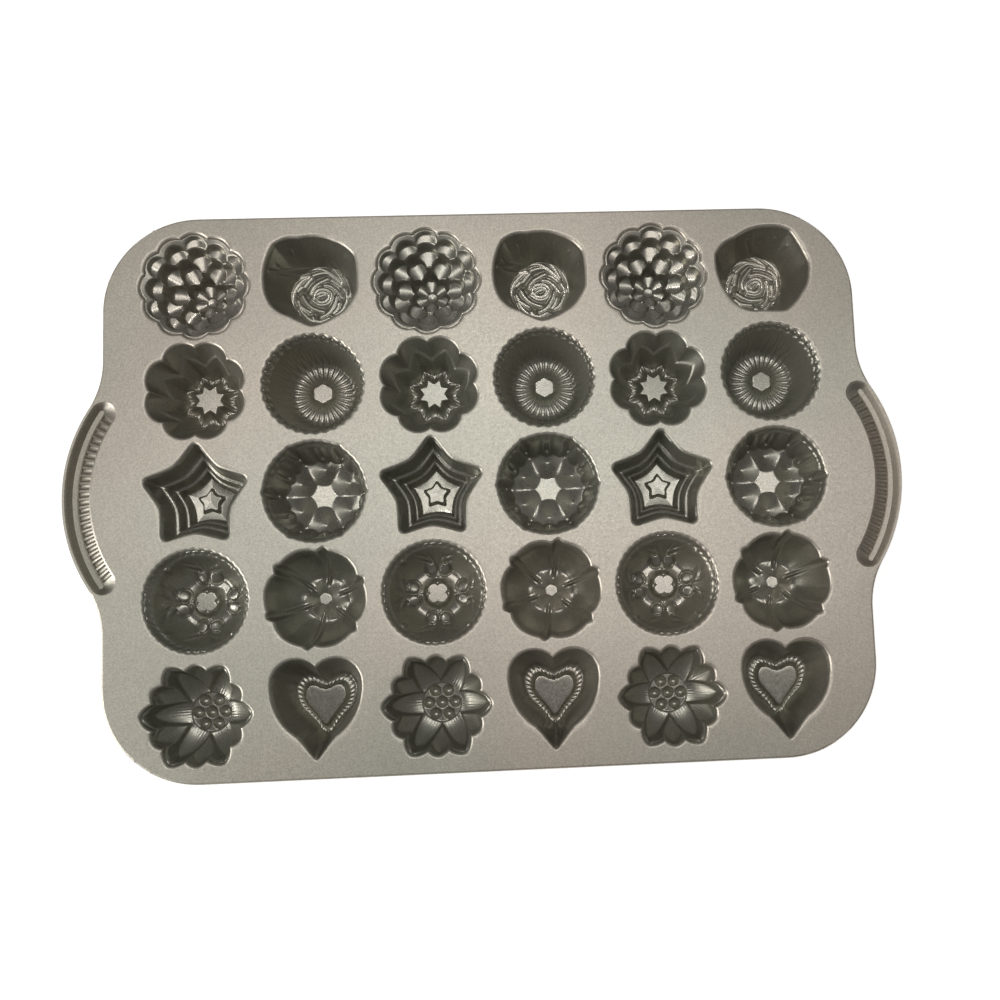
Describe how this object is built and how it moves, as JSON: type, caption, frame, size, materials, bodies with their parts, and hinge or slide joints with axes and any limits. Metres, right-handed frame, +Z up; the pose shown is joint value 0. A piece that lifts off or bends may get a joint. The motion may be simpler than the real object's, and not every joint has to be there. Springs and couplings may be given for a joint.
{
  "type": "tea cake pan",
  "caption": "Shallow baking pan with rounded corners and bowed side handles, its deck filled with ornamental cups shaped as flowers, stars, hearts, pumpkins and medallions.",
  "frame": {"origin": "middle of the pan's footprint, on the plane that the deepest cups stand on", "axes": "+X along the length, from the left handle to the right handle; +Y towards the back row of cups; +Z up, out of the cups"},
  "size_m": [0.3974, 0.2672, 0.0244],
  "materials": {
    "coated_aluminium": "champagne non-stick coat with a fine metallic grain"
  },
  "bodies": {
    "root": {"back_left_corner": "coated_aluminium", "back_right_corner": "coated_aluminium", "back_rim": "coated_aluminium", "dahlia_cup_1": "coated_aluminium", "dahlia_cup_2": "coated_aluminium", "dahlia_cup_3": "coated_aluminium", "fluted_cup_1": "coated_aluminium", "fluted_cup_2": "coated_aluminium", "fluted_cup_3": "coated_aluminium", "front_left_corner": "coated_aluminium", "front_right_corner": "coated_aluminium", "front_rim": "coated_aluminium", "heart_cup_1": "coated_aluminium", "heart_cup_2": "coated_aluminium", "heart_cup_3": "coated_aluminium", "left_handle": "coated_aluminium", "medallion_cup_1": "coated_aluminium", "medallion_cup_2": "coated_aluminium", "medallion_cup_3": "coated_aluminium", "pumpkin_cup_1": "coated_aluminium", "pumpkin_cup_2": "coated_aluminium", "pumpkin_cup_3": "coated_aluminium", "right_handle": "coated_aluminium", "rose_cup_1": "coated_aluminium", "rose_cup_2": "coated_aluminium", "rose_cup_3": "coated_aluminium", "rosette_cup_1": "coated_aluminium", "rosette_cup_2": "coated_aluminium", "rosette_cup_3": "coated_aluminium", "star_cup_1": "coated_aluminium", "star_cup_2": "coated_aluminium", "star_cup_3": "coated_aluminium", "star_flower_cup_1": "coated_aluminium", "star_flower_cup_2": "coated_aluminium", "star_flower_cup_3": "coated_aluminium", "sunflower_cup_1": "coated_aluminium", "sunflower_cup_2": "coated_aluminium", "sunflower_cup_3": "coated_aluminium"}
  },
  "joints": []
}
